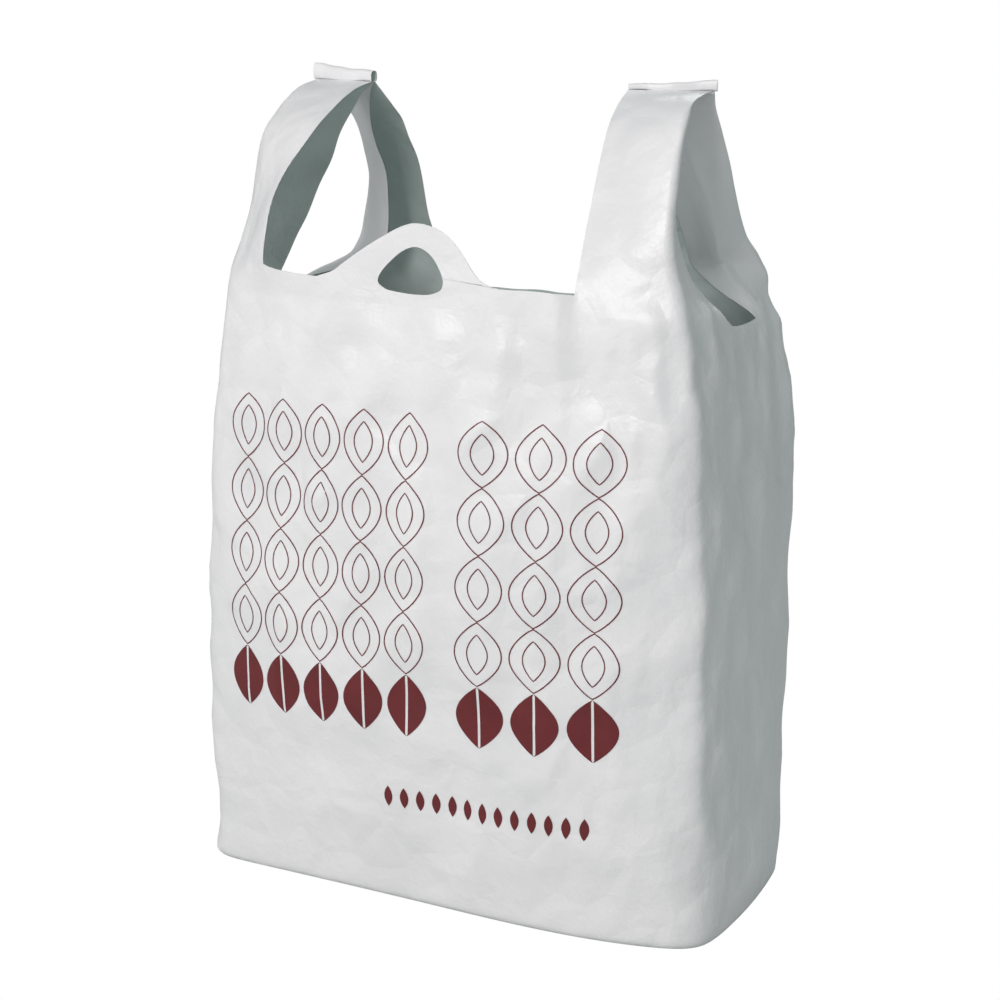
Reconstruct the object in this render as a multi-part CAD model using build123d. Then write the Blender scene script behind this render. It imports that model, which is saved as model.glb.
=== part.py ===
"""An open carrier bag of thin white film with two loop handles, standing on its folded base.

Frame: origin at the centre of the base, +X to the right of a viewer who faces the printed face, +Y to the
rear, +Z up, millimetres. The printed face looks along -Y. The film is drawn FILM thick, thicker than the real
film, and every region of film between two creases, cuts or heat seals is a solid of its own.
Creases run up the four corners and leave a small gap for the folding film.
"""

import os
from math import cos, pi, sin, sqrt

from build123d import *

# film
FILM = 0.5
INK = 0.1

# body: corner creases lean inwards as they rise
BASE_HALF_WIDTH = 133.0
SHOULDER_HALF_WIDTH = 118.0
SHOULDER_Z = 286.0
HALF_DEPTH = 59.0
TAPER = (BASE_HALF_WIDTH - SHOULDER_HALF_WIDTH) / SHOULDER_Z

# bow of the front and back faces beyond the creases
BOW_AT_EDGES = 12.0
BOW_AT_BELLY = 23.0
LIP = 0.8
COLUMNS = (0.0, 0.14, 0.28, 0.29, 0.42, 0.43, 0.552, 0.562, 0.695, 0.705, 0.84, 0.93, 1.0)
MOUTH_Z = 296.0
MOUTH_COLUMNS = (-0.7, 0.56)
TAB_SEAT_Z = 291.5
TAB_SEAT_COLUMNS = (-0.425, 0.285)
# the back's mouth edge sags lower than the front's, and its tab has flopped over it to the outside
REAR_MOUTH_Z = 280.0
REAR_MOUTH_COLUMNS = (-0.56, 0.56)
REAR_TAB_SEAT_Z = 277.5
REAR_TAB_PIVOT = (74.3, 278.6)
REAR_TAB_FALL = 155
REAR_TAB_GAP = 0.3
CORNER_GAP = 2.0
CENTRE_GAP = 1.0
SHOULDER_RISE = 2.0
PLAIN_ROWS = (0.0, 25.0, 77.0, 263.0, 278.0)

# printed rows on the front face
ROW_TOP = 240.0
ROW_PITCH = 30.0
ROW_HEIGHT = 26.0
ROW_COUNT = 5
ROW_COLUMNS = (-0.93, 0.84)
SMALL_ROW = (50.0, 60.0)
SMALL_ROW_COLUMNS = (-0.14, 0.705)

# gusset leaves
LEAF_BOTTOM = 1.6
LEAF_STRIP_WIDTH = 40.0
HAND_CUT_DROP = 7.0
HAND_CUT_STEPS = 5

# base
BASE_Z = 1.1
FLAP_START = 0.8
FLAP_END = 58.4
FLAP_HALF_WIDTH = 125.0
FLAP_INSET = 1.02
FLAP_GAP = 0.8
CORNER_START = 6.0
SIDE_CLEARANCE = 1.2
SEAL_DEPTH = 5.5
SEAL_THICKNESS = 0.6
SEAL_HALF_WIDTH = 66.0

# handles: outer and inner edges of each front strap, from its foot to the seal
FOOT_Y = -60.0
FOOT_Z = (SHOULDER_Z + 3.2, 299.4)
FOOT_X = {"right": (66.0, 110.0), "left": (84.0, 110.0)}
STRAP_EDGES = {
    "right": (
        ((110.0, -57.5, 300.8), (66.5, -66.0, 304.0)),
        ((107.5, -57.6, 317.0), (65.5, -57.0, 318.0)),
        ((105.6, -53.5, 334.0), (64.8, -47.5, 334.0)),
        ((104.8, -45.0, 352.0), (64.3, -38.5, 352.0)),
        ((104.4, -36.5, 369.0), (64.2, -28.0, 368.0)),
        ((104.1, -24.0, 378.5), (64.1, -17.5, 376.5)),
        ((103.6, 3.4, 383.3), (65.4, -8.3, 383.3)),
    ),
    "left": (
        ((117.0, -44.0, 300.8), (87.4, -70.5, 306.2)),
        ((115.6, -41.0, 317.0), (86.5, -70.0, 319.0)),
        ((114.2, -37.5, 334.0), (83.5, -66.0, 334.0)),
        ((112.8, -35.0, 352.0), (78.0, -57.0, 351.0)),
        ((110.8, -26.5, 369.0), (71.8, -41.5, 369.0)),
        ((107.6, -13.5, 378.5), (67.5, -25.0, 378.0)),
        ((103.6, 3.4, 383.3), (65.4, -8.3, 383.3)),
    ),
}
REAR_STRAP_EDGES = (
    ((110.0, 60.0, 300.8), (66.0, 60.0, 300.8)),
    ((106.5, 36.0, 334.0), (65.5, 36.0, 334.0)),
    ((104.5, 17.5, 365.0), (65.0, 12.0, 365.0)),
    ((103.6, 7.6, 383.5), (65.4, -4.1, 383.5)),
)
SEAL_TURN = 17.0
SEAL_CENTRE = (84.6, -2.0, 387.0)
TOP_SEAL_SIZE = (40.0, 0.8, 6.0)

# gusset strips in the handles: outer and free edges, from the gusset to the seal
STRIP_EDGES = {
    "front": (
        ((114.5, -50.0, 289.4), (112.0, -14.0, 289.4)),
        ((112.0, -36.0, 310.0), (99.0, -4.0, 310.0)),
        ((108.0, -30.0, 340.0), (88.0, -4.0, 340.0)),
        ((104.0, -10.0, 372.0), (72.0, -6.5, 372.0)),
    ),
    "rear": (
        ((114.5, 52.0, 289.4), (98.0, 18.0, 289.4)),
        ((110.0, 42.0, 310.0), (84.0, 14.0, 310.0)),
        ((105.0, 26.0, 340.0), (74.0, 8.0, 340.0)),
        ((104.0, 9.0, 372.0), (70.0, 1.0, 372.0)),
    ),
}
STRIP_CELLS = 3

# hanging tabs
TAB_CENTRE = -8.0
TAB_HALF_WIDTH = 38.0
TAB_NECK = 19.0
TAB_NECK_Z = 314.0
TAB_FOOT_SLOPE = 0.15
TAB_BOTTOM = TAB_SEAT_Z + 1.0
TAB_FACE_Y = -71.55
TAB_TOP = 323.5
TAB_HOLE_HALF_WIDTH = 16.0
TAB_HOLE_BOTTOM = 296.0
TAB_HOLE_TOP = 315.0


def crease_x(z):
    """Half width of the body at the corner creases."""
    return BASE_HALF_WIDTH - TAPER * z


def bow(z):
    """How far the middle of the front face stands out at a height."""
    return BOW_AT_EDGES + (BOW_AT_BELLY - BOW_AT_EDGES) * sin(pi * z / MOUTH_Z)


def front_point(u, z):
    """A point of the front face's outer surface, with u from -1 to 1 between the corner creases."""
    x = u * (crease_x(z) - CORNER_GAP)
    return Vector(x, -HALF_DEPTH - LIP - bow(z) * (1 - abs(u) ** 3), z)


def triangles(a, b, c, d):
    """The two flat faces of a four-cornered patch."""
    return [Face(Wire.make_polygon(corners, close=True)) for corners in ((a, b, c), (a, c, d))]


def sheet_solid(outer, inner):
    """A closed sheet between two grids of points that have the same rows and columns."""
    rows, columns = len(outer), len(outer[0])
    faces = []
    for i in range(rows - 1):
        for j in range(columns - 1):
            faces += triangles(outer[i][j], outer[i][j + 1], outer[i + 1][j + 1], outer[i + 1][j])
            faces += triangles(inner[i][j], inner[i][j + 1], inner[i + 1][j + 1], inner[i + 1][j])
    for j in range(columns - 1):
        for i in (0, rows - 1):
            faces += triangles(outer[i][j], outer[i][j + 1], inner[i][j + 1], inner[i][j])
    for i in range(rows - 1):
        for j in (0, columns - 1):
            faces += triangles(outer[i][j], outer[i + 1][j], inner[i + 1][j], inner[i][j])
    return Solid(Shell(faces))


def plate(corners, thickness):
    """A flat plate on a polygon of points, thickened along a vector."""
    return Solid.extrude(Face(Wire.make_polygon(corners, close=True)), Vector(*thickness))


def all_columns():
    """The face's column positions on both sides of its middle."""
    return [-u for u in reversed(COLUMNS[1:])] + list(COLUMNS)


def row_limits(number):
    """Bottom and top of a printed row, counted from the top."""
    top = ROW_TOP - number * ROW_PITCH
    return top - ROW_HEIGHT, top


def panel_heights():
    """Heights of the face's grid rows, which include the limits of every printed row."""
    limits = [z for number in range(ROW_COUNT) for z in row_limits(number)]
    return sorted([*PLAIN_ROWS, *SMALL_ROW, *limits])


def top_edge(u, mouth_columns, mouth_z, seat_z):
    """Height of a face's top edge: its shoulders, its mouth edge and in that a seat for the hanging tab."""
    if not mouth_columns[0] < u < mouth_columns[1]:
        return SHOULDER_Z + SHOULDER_RISE
    if TAB_SEAT_COLUMNS[0] < u < TAB_SEAT_COLUMNS[1]:
        return seat_z
    return mouth_z


def make_panel(mouth_columns, mouth_z, seat_z):
    """The bowed front face, with the lip that turns under it at the base."""
    columns = all_columns()
    lip_under = [Vector(p.X, -HALF_DEPTH, 0) for p in (front_point(u, 0) for u in columns)]
    outer, inner = [lip_under], [[p + Vector(0, 0, FILM) for p in lip_under]]
    for z in panel_heights():
        row = [front_point(u, z) for u in columns]
        lift = FILM if z == 0 else 0
        outer.append(row)
        inner.append([p + Vector(0, FILM, lift) for p in row])
    tops = [top_edge(u, mouth_columns, mouth_z, seat_z) for u in columns]
    edge = [front_point(u, z) for u, z in zip(columns, tops)]
    outer.append(edge)
    inner.append([p + Vector(0, FILM, 0) for p in edge])
    return sheet_solid(outer, inner)


def make_ink(bottom, top, ends):
    """A layer of ink on the front face between two heights and two columns."""
    columns = [u for u in all_columns() if ends[0] <= u <= ends[1]]
    heights = [z for z in panel_heights() if bottom <= z <= top]
    lower = [[front_point(u, z) for u in columns] for z in heights]
    upper = [[p - Vector(0, INK, 0) for p in row] for row in lower]
    return sheet_solid(upper, lower)


def make_leaf():
    """The front leaf of the right gusset, flat between its two creases, cut down for the hand hole."""
    end = HALF_DEPTH - CENTRE_GAP
    profile = [(CORNER_GAP, LEAF_BOTTOM), (end, LEAF_BOTTOM)]
    for step in range(HAND_CUT_STEPS + 1):
        turn = step / HAND_CUT_STEPS * pi / 2
        across = end - (end - LEAF_STRIP_WIDTH) * sin(turn)
        profile.append((across, SHOULDER_Z - HAND_CUT_DROP * cos(turn)))
    profile.append((CORNER_GAP, SHOULDER_Z))
    corners = [Vector(crease_x(z), s - HALF_DEPTH, z) for s, z in profile]
    lean = sqrt(1 + TAPER**2)
    return plate(corners, (-FILM / lean, 0, -FILM * TAPER / lean))


def flap_edge(t):
    """Half width of the base flap at a distance from its crease."""
    return FLAP_HALF_WIDTH - FLAP_INSET * t


def make_flap():
    """The front half of the base, cut back where the gusset folds in."""
    near, far = FLAP_START, FLAP_END
    outline = [(-flap_edge(near), near), (flap_edge(near), near), (flap_edge(far), far), (-flap_edge(far), far)]
    corners = [Vector(x, t - HALF_DEPTH, BASE_Z - FILM) for x, t in outline]
    return plate(corners, (0, 0, FILM))


def make_base_corner():
    """The film between the front flap and the right gusset, which refolds as the bag closes."""
    side = BASE_HALF_WIDTH - SIDE_CLEARANCE
    outline = [
        (flap_edge(CORNER_START) + FLAP_GAP, CORNER_START),
        (side, CORNER_START),
        (side, FLAP_END),
        (flap_edge(FLAP_END) + FLAP_GAP, FLAP_END),
    ]
    corners = [Vector(x, t - HALF_DEPTH, BASE_Z - FILM) for x, t in outline]
    return plate(corners, (0, 0, FILM))


def make_seal(left, right):
    """A stretch of the bottom heat seal, which lies flat under the front flap."""
    back = FLAP_END - HALF_DEPTH
    size = (right - left, SEAL_DEPTH, SEAL_THICKNESS)
    return Pos((left + right) / 2, back - SEAL_DEPTH / 2, SEAL_THICKNESS / 2) * Box(*size)


def make_foot(side):
    """The foot of a front handle strap on the +X side, above the mouth."""
    inner, outer = FOOT_X[side]
    bottom, top = FOOT_Z
    middle = Pos((inner + outer) / 2, FOOT_Y + FILM / 2, (bottom + top) / 2)
    return middle * Box(outer - inner, FILM, top - bottom)


def ribbon(edges, cells):
    """A thin strip of film between an outer and an inner edge, thickened away from its inside."""
    rows = [[Vector(*ends[0]), Vector(*ends[1])] for ends in edges]
    outer, inner = [], []
    for i, (outside, inside) in enumerate(rows):
        below, above = rows[max(i - 1, 0)], rows[min(i + 1, len(rows) - 1)]
        up = above[0] + above[1] - below[0] - below[1]
        normal = (inside - outside).cross(up).normalized() * FILM
        row = [outside + (inside - outside) * (j / cells) for j in range(cells + 1)]
        inner.append(row)
        outer.append([p + normal for p in row])
    return sheet_solid(outer, inner)


def make_top_seal():
    """The flat heat seal that joins the four layers of the right handle, its inner end turned forward."""
    return Pos(*SEAL_CENTRE) * Rot(0, 0, SEAL_TURN) * Box(*TOP_SEAL_SIZE)


def make_tab():
    """The hanging tab at the middle of the front mouth edge, with its D-shaped hole."""
    with BuildSketch(Plane.XZ) as tab:
        with BuildLine():
            foot = Line((-TAB_HALF_WIDTH, TAB_BOTTOM), (TAB_HALF_WIDTH, TAB_BOTTOM))
            Spline(
                foot @ 1,
                (TAB_NECK, TAB_NECK_Z),
                (0, TAB_TOP),
                (-TAB_NECK, TAB_NECK_Z),
                foot @ 0,
                tangents=((-1, TAB_FOOT_SLOPE), (-1, -TAB_FOOT_SLOPE)),
            )
        make_face()
        with BuildLine():
            sill = Line((-TAB_HOLE_HALF_WIDTH, TAB_HOLE_BOTTOM), (TAB_HOLE_HALF_WIDTH, TAB_HOLE_BOTTOM))
            ThreePointArc(sill @ 1, (0, TAB_HOLE_TOP), sill @ 0)
        make_face(mode=Mode.SUBTRACT)
    return Pos(TAB_CENTRE, TAB_FACE_Y + FILM / 2, 0) * extrude(tab.sketch, FILM)


def make_rear_tab():
    """The rear tab, turned about its foot until it hangs down outside the back."""
    y, z = REAR_TAB_PIVOT
    upright = Pos(0, TAB_FACE_Y, REAR_TAB_GAP - TAB_BOTTOM) * mirror(make_tab(), about=Plane.XZ)
    return Pos(0, y, z) * Rot(-REAR_TAB_FALL, 0, 0) * upright


def save(name, shape):
    export_step(shape, f"parts/{name}.step")


def save_both(name, shape):
    """Write a sub-part of the +X side for the right, and its mirror image for the left."""
    save(f"right_{name}", shape)
    save(f"left_{name}", mirror(shape, about=Plane.YZ))


def save_four(name, shape):
    """Write a right front sub-part and its three mirror images."""
    save_both(f"front_{name}", shape)
    save_both(f"rear_{name}", mirror(shape, about=Plane.XZ))


def save_handle_fronts():
    """Write the front straps and their feet, which differ from side to side."""
    for side, edges in STRAP_EDGES.items():
        foot, strap = make_foot(side), ribbon(edges, 1)
        if side == "left":
            foot, strap = mirror(foot, about=Plane.YZ), mirror(strap, about=Plane.YZ)
        save(f"{side}_front_strap_root", foot)
        save(f"{side}_front_strap", strap)


def main():
    os.makedirs("parts", exist_ok=True)
    save("front_panel", make_panel(MOUTH_COLUMNS, MOUTH_Z, TAB_SEAT_Z))
    back = make_panel(REAR_MOUTH_COLUMNS, REAR_MOUTH_Z, REAR_TAB_SEAT_Z)
    save("back_panel", mirror(back, about=Plane.XZ))
    for number in range(ROW_COUNT):
        save(f"front_print_row_{number + 1}", make_ink(*row_limits(number), ROW_COLUMNS))
    save("front_print_small_row", make_ink(*SMALL_ROW, SMALL_ROW_COLUMNS))

    save_four("gusset_leaf", make_leaf())
    flap = make_flap()
    save("base_front_flap", flap)
    save("base_rear_flap", mirror(flap, about=Plane.XZ))
    save_four("base_corner", make_base_corner())
    save("bottom_seal", make_seal(-SEAL_HALF_WIDTH, SEAL_HALF_WIDTH))
    save_both("seal_ear", make_seal(SEAL_HALF_WIDTH + FLAP_GAP, BASE_HALF_WIDTH - SIDE_CLEARANCE))

    save_handle_fronts()
    save_both("rear_strap_root", mirror(make_foot("right"), about=Plane.XZ))
    save_both("rear_strap", ribbon(REAR_STRAP_EDGES, 1))
    for face, edges in STRIP_EDGES.items():
        save_both(f"{face}_gusset_strip", ribbon(edges, STRIP_CELLS))
    save_both("top_seal", make_top_seal())

    save("front_tab", make_tab())
    save("rear_tab", make_rear_tab())


main()
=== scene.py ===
"""The looks of an open carrier bag of thin white film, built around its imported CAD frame.

Shapes are worked out in millimetres in the frame of the CAD, and turned into metres when a mesh is made.
The body is one grid of points, with rows up the bag and columns round it. Each handle is a grid that grows
out of the body's top row. The grids are cut into pieces along the creases that fold.
"""

import math

import bpy
import numpy as np
from mathutils import Matrix, Vector, noise
from mathutils.bvhtree import BVHTree


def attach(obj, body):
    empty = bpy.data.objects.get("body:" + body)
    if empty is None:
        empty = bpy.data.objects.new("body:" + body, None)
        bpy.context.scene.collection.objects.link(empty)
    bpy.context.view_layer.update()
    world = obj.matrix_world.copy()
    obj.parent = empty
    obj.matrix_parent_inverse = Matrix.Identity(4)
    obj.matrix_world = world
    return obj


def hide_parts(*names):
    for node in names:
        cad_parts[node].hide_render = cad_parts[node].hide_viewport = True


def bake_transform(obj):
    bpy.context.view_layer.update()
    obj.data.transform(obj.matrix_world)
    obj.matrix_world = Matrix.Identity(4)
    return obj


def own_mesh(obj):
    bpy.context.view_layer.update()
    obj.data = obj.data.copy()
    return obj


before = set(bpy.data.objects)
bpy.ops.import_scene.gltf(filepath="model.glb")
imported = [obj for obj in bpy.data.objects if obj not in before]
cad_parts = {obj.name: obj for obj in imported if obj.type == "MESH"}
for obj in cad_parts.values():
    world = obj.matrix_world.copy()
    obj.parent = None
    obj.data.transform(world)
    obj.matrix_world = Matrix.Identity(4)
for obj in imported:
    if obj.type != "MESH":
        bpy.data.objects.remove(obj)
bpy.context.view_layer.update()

MM = 0.001
FILM = 0.3
SIDES = {"right": 1, "left": -1}

# cells of the body's grid: across the front and the back, across a gusset, and its evenly spaced rows
FRONT_CELLS = 106
SIDE_CELLS = 48
ROWS = 118
LOW_ROWS = (0, 0.8, 2.0, 3.6, 5.6)
FIRST_EVEN_ROW = 8.0

BODY_TOP = 288.0
HALF_DEPTH = 59.0
FRONT_Y = -HALF_DEPTH - 0.6
BASE_HALF_WIDTH = 133.0
TOP_HALF_WIDTH = 116.0
TAPER = 15.0 / 286.0
CREASE_MARGIN = 12.0
EDGE_RADIUS = 5.0
LIP_Y = 58.4
LIP_Z = 0.8
LIP_ROWS = 6
FLAP_Z = 1.0
FLAP_ROWS, FLAP_CELLS, CORNER_CELLS = 26, 80, 14
FLAP_HALF_WIDTH = 125.0
FLAP_TAPER = 1.02
FLAP_CLEARANCE = 1.5
CORNER_FILM_Z = 0.9
BOTTOM_SEAL_Z = 0.3

# x of the straps' inner edges at their feet and of the tabs' left and right feet, and how far from the
# middle of the gusset the strips end
STRAP_FEET = {
    ("right", "front"): 66.0,
    ("right", "rear"): 66.0,
    ("left", "front"): -88.0,
    ("left", "rear"): -66.0,
}
TAB_FEET = {"front": (-60.0, 36.0), "rear": (-54.0, 34.0)}
STRIP_ENDS = {
    ("right", "front"): 13.0,
    ("right", "rear"): 26.0,
    ("left", "front"): 13.0,
    ("left", "rear"): 13.0,
}
REAR_TOP = 274.0
MOUTH = {"front": 298.7, "rear": 278.6}
# height of the gussets' top edge at a y
HOLE_EDGE = {
    "right": ((-59, 288), (-26, 287), (-16, 285), (-6, 280.4), (4, 278.6), (26, 279), (42, 283), (59, 288)),
    "left": (
        (-59, 288), (-26, 286.5), (-14, 284), (-5, 280.8), (5, 280.8), (14, 284), (26, 286.5), (59, 288),
    ),
}

# height, half width at the front creases
FRONT_CREASE = (
    (0, 133.5), (25, 133), (76, 130.8), (127, 129.2), (178, 127.6), (229, 124.4), (262, 120.5), (288, 115.7),
)
# height, x and y of the right rear crease
REAR_CREASE = (
    (0, 131, 60), (100, 130.5, 61), (200, 129, 63), (250, 127, 65), (266, 124.5, 63.5), (288, 116.5, 59),
)

# lower edge of a top seal, at its outer and inner ends, and half its height there
SEAL_OUTER = (103.6, 3.4, 383.6)
SEAL_INNER = (65.4, -8.3, 383.6)
SEAL_HALF_HEIGHTS = {"right": (2.6, 1.5), "left": (4.0, 2.7)}

# rows of each handle from its foot to the seal: the strap's inner edge, the corner crease and the free edge
# of the gusset strip, with the left handle's points mirrored to the right side
HANDLES = {
    ("right", "front"): (
        ((66.3, -66.5, 299), (112.5, -58.5, 297), (107, -14, 293)),
        ((65.9, -61.5, 310), (108.8, -57.6, 308), (99, -16, 304)),
        ((65.3, -56.0, 319), (107.3, -57.5, 319), (93, -17, 318)),
        ((64.8, -47.0, 334), (105.6, -53.5, 334), (86, -16, 336)),
        ((64.3, -38.5, 351), (104.8, -45.5, 351), (79, -14, 353)),
        ((64.2, -28.5, 367), (104.4, -37.0, 368), (72, -12, 368)),
        ((64.1, -18.0, 376.5), (104.2, -26.0, 378.5), (67.5, -10.5, 377)),
        ((64.6, -11.5, 381), (104.1, -10.0, 382.6), (66, -9, 381.5)),
    ),
    ("left", "front"): (
        ((88.7, -69.5, 299), (116.0, -56.5, 297), (117, -4, 293)),
        ((87.6, -71.5, 307.6), (115.4, -50.0, 306), (111.5, -1, 307)),
        ((86.5, -71.0, 316), (115.4, -43.0, 317), (105.5, 0, 318)),
        ((84.4, -67.0, 331), (114.4, -38.0, 332), (99.5, 1.5, 333)),
        ((80.2, -61.0, 346), (113.4, -35.4, 346), (91.5, 0, 345)),
        ((74.6, -51.0, 361), (111.6, -31.5, 361), (86, -1, 358)),
        ((70.6, -37.5, 372), (109.6, -22.5, 372), (77, -4, 371)),
        ((67.3, -22.0, 380.3), (106.6, -9.5, 380.3), (69.5, -8.5, 379.5)),
    ),
    ("right", "rear"): (
        ((66, 62.5, 297), (113.5, 59.0, 296), (98, 16.5, 294.5)),
        ((66, 58.0, 305), (110.5, 56.0, 304), (88.5, 17, 303)),
        ((65.8, 49.0, 317), (107.5, 46.8, 315), (86.9, 9, 317)),
        ((65.5, 38.0, 331.5), (106.0, 37.0, 331.5), (84, 2, 331)),
        ((65.3, 26.0, 349), (105.2, 27.0, 347), (78, -3, 348)),
        ((65.0, 14.0, 363), (104.5, 15.0, 366), (72, -4.5, 363)),
        ((64.8, 3.0, 375.5), (104.2, 6.5, 377), (68, -5.0, 375)),
    ),
    ("left", "rear"): (
        ((66, 63.0, 297), (112.0, 60.5, 296), (90, 27, 292)),
        ((66.3, 60.0, 305), (109.5, 61.5, 303), (79.5, 33, 301)),
        ((66.5, 54.0, 315), (108.0, 62.5, 313), (76.5, 32, 313)),
        ((65.3, 45.5, 334), (101.5, 57.5, 334), (75, 26, 336)),
        ((64.0, 33.0, 350), (99.0, 47.5, 350), (75, 15, 354)),
        ((62.9, 17.0, 366), (97.5, 33.0, 364), (72, 5, 367)),
        ((63.0, 2.5, 376), (98.5, 17.0, 375), (69, -1.5, 377)),
    ),
}
HANDLE_ROWS = 54
HANDLE_SOFTENING = 3
# how far the strips stand off the straps, and the rear straps behind the line of the seal
LAYER_GAP = 1.0
SEAL_DEPTHS = {"front": 0.0, "rear": 3.2}
# height where a strap's root ends
ROOT_TOP = 300.0
# height of the mouth's corners on the straps' inner edges, and how far along the edge a corner lifts it
CORNER_HEIGHTS = {
    ("right", "front"): 298.5,
    ("right", "rear"): 298.5,
    ("left", "front"): 303.0,
    ("left", "rear"): 298.5,
}
CORNER_REACH = 6.5

# x and z along the tab's outline, from its right foot over the arch to its left foot
TAB_OUTLINE = (
    (30, 299.2), (24, 301.5), (19.5, 304.8), (15.5, 309.5), (10.5, 316), (4.5, 321.5), (-3, 324.6),
    (-11, 325.2), (-19, 322.8), (-28, 317.8), (-37, 311.8), (-45, 306), (-51, 301.6),
)
TAB_HOLE = (
    (4.6, 299.5), (3.4, 304), (0.2, 309.5), (-4.5, 313.6), (-10, 314.8), (-16, 312.8), (-22, 308.4),
    (-27.3, 302.4), (-28.6, 298.2), (-25, 295.2), (-17, 294), (-8, 293.6), (-1, 294.2), (3.6, 296.4),
)
TAB_HOLE_BOTTOM = 293.6
TAB_RINGS = 15
TAB_HEIGHTS = {"front": 38.0, "rear": 44.0}
# steps out and up of the rear tab's film from the body's top row, over the mouth's edge and down outside
REAR_TAB_PATH = (
    (0, 0), (0.3, 2.6), (1.4, 5.0), (3.4, 4.6), (4.9, 2.4), (6.6, -1.4), (9.6, -9.0), (12.4, -17.0),
    (15.2, -26.5),
)
REAR_TAB_STRETCH = 1.2
REAR_HOLE_START = 12.0
REAR_HOLE_STRETCH = 0.88


# ---------------------------------------------------------------- small helpers

SEED_STEP = 17.3


def smoothstep(low, high, value):
    """A smooth rise from 0 to 1 between two values."""
    t = np.clip((np.asarray(value, float) - low) / (high - low), 0, 1)
    return t * t * (3 - 2 * t)


def plateau(low, high, value, slope):
    """A smooth rise to 1 over a slope's width above the low end, and a fall over as much below the high end."""
    return smoothstep(0, slope, value - low) * smoothstep(0, slope, high - value)


def curve(table, at, column=1):
    """A value read from a table, with its corners rounded over a few millimetres."""
    places = [row[0] for row in table]
    values = [row[column] for row in table]
    weights = ((-6.0, 0.25), (0, 0.5), (6.0, 0.25))
    return sum(np.interp(at + shift, places, values) * weight for shift, weight in weights)


def noise_at(points, scale, seed, stretch):
    """Smooth noise from -1 to 1 at each point of a grid. Seeds far apart give unlike noise."""
    flat = points.reshape(-1, 3) / (scale * np.array(stretch, float)) + seed * SEED_STEP
    values = [noise.noise(Vector(p)) for p in flat]
    return np.array(values).reshape(points.shape[:-1])


def grid_normals(points, closed=False):
    """Normals of a grid from its neighbours' differences, along its rows and up its columns."""
    if closed:
        along = np.roll(points, -1, axis=1) - np.roll(points, 1, axis=1)
    else:
        along = np.gradient(points, axis=1)
    up = np.gradient(points, axis=0)
    n = np.cross(along, up)
    return n / np.maximum(np.linalg.norm(n, axis=-1, keepdims=True), 1e-9)


def spline(knots, count):
    """Points on a smooth curve through knots, from the second knot on: the first only steers it."""
    knots = np.asarray(knots, float)
    steps = np.sqrt(np.linalg.norm(np.diff(knots, axis=0), axis=1))
    t = np.concatenate([[0], np.cumsum(np.maximum(steps, 1e-3))])
    slopes = np.gradient(knots, t, axis=0)
    at = np.linspace(t[1], t[-1], count)
    i = np.clip(np.searchsorted(t, at, side="right") - 1, 0, len(t) - 2)
    h = (t[i + 1] - t[i])[:, None]
    s = ((at - t[i]) / (t[i + 1] - t[i]))[:, None]
    return (
        (2 * s**3 - 3 * s**2 + 1) * knots[i]
        + (s**3 - 2 * s**2 + s) * h * slopes[i]
        + (-2 * s**3 + 3 * s**2) * knots[i + 1]
        + (s**3 - s**2) * h * slopes[i + 1]
    )


# ---------------------------------------------------------------- the body's grid


def bow(z):
    """How far the middle of the front stands out at a height."""
    return 12 + 11 * np.sin(np.pi * z / 296)


def centre_valley(y, z):
    """How far a gusset is drawn in beside its centre crease."""
    depth = 2.4 * smoothstep(20, 90, z) * (1 - 0.6 * smoothstep(230, 280, z))
    return depth * np.exp(-((y / 7.5) ** 2))


def front_line(z):
    """The front face's section at a height, from the left crease to the right crease."""
    u = np.linspace(-1, 1, FRONT_CELLS + 1)
    x = u * curve(FRONT_CREASE, z)
    slump = 10.8 * (1 - smoothstep(0, 130, z)) * (0.35 - u) * (1 - u**2)
    y = FRONT_Y - bow(z) * (1 - np.abs(u) ** 3) + slump
    return np.stack([x, y], -1)


def right_line(z):
    """The right gusset's section, from the front crease to the rear crease."""
    s = np.linspace(0, 1, SIDE_CELLS + 1)
    front, rear = curve(FRONT_CREASE, z), np.array([curve(REAR_CREASE, z, k) for k in (1, 2)])
    y = FRONT_Y + (rear[1] - FRONT_Y) * s
    bulge = 2.6 * (1 - smoothstep(40, 220, z)) + 0.8
    x = front + (rear[0] - front) * s + bulge * np.sin(np.pi * s) - centre_valley(y, z)
    return np.stack([x, y], -1)


def left_line(z):
    """The left gusset's section, from the rear crease, which stays on its hinge line, to the front crease."""
    s = np.linspace(0, 1, SIDE_CELLS + 1)
    front, rear = curve(FRONT_CREASE, z), BASE_HALF_WIDTH - TAPER * z
    y = HALF_DEPTH + (FRONT_Y - HALF_DEPTH) * s
    x = rear + (front - rear) * s + 1.5 * np.sin(np.pi * s) - centre_valley(y, z)
    return np.stack([-x, y], -1)


def back_line(z):
    """The back's section, from the right rear crease to the left rear crease."""
    u = np.linspace(1, -1, FRONT_CELLS + 1)
    rx, ry = curve(REAR_CREASE, z), curve(REAR_CREASE, z, 2)
    lx, ly = BASE_HALF_WIDTH - TAPER * z, HALF_DEPTH
    share = (u + 1) / 2
    x = -lx + (rx + lx) * share
    y = ly + (ry - ly) * share + (bow(z) - 4) * (1 - np.abs(u) ** 3)
    return np.stack([x, y], -1)


def column_tops():
    """Height of the body grid's top row at every column."""
    y = np.linspace(-HALF_DEPTH, HALF_DEPTH, SIDE_CELLS + 1)[1:-1]
    right, left = (curve(HOLE_EDGE[side], y) for side in ("right", "left"))
    front = np.full(FRONT_CELLS + 1, BODY_TOP)
    x = np.abs(np.linspace(-1, 1, FRONT_CELLS + 1)) * TOP_HALF_WIDTH
    back = REAR_TOP + (BODY_TOP - REAR_TOP) * smoothstep(50, 65, x)
    return np.concatenate([front, right, back, left[::-1]])


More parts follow.
